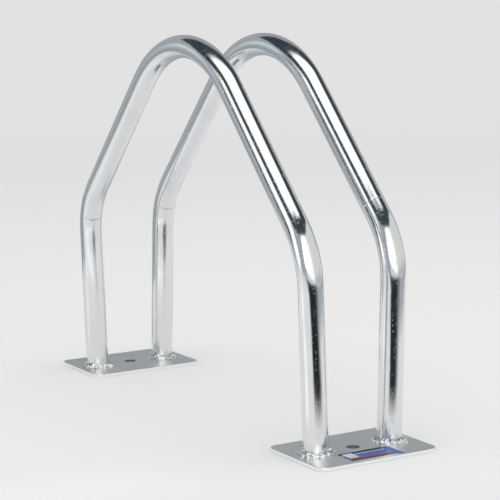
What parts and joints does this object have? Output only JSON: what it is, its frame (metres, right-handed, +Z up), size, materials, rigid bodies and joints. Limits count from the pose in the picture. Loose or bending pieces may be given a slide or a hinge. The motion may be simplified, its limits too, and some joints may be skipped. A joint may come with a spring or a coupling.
{
  "type": "hoop bike rack",
  "caption": "Floor rack that holds a bicycle wheel upright between bent steel hoops welded to flat anchor plates.",
  "frame": {"origin": "on the floor, midway between the foot plates and between the hoops", "axes": "+X along the wheel towards the front plate with the label, +Y from the near hoop to the far hoop, +Z up"},
  "size_m": [0.448, 0.11, 0.3172],
  "materials": {
    "zinc_tube": "bright zinc plating with sharp reflections, fine scratches and small specks",
    "zinc_plate": "satin zinc plating",
    "weld_metal": "lumpy weld bead under bright zinc plating",
    "label_film": "glossy printed film without lettering"
  },
  "bodies": {
    "root": {"near_hoop": "zinc_tube", "far_hoop": "zinc_tube", "front_plate": "zinc_plate", "rear_plate": "zinc_plate", "front_near_weld": "weld_metal", "front_far_weld": "weld_metal", "rear_near_weld": "weld_metal", "rear_far_weld": "weld_metal", "label": "label_film"}
  },
  "joints": []
}
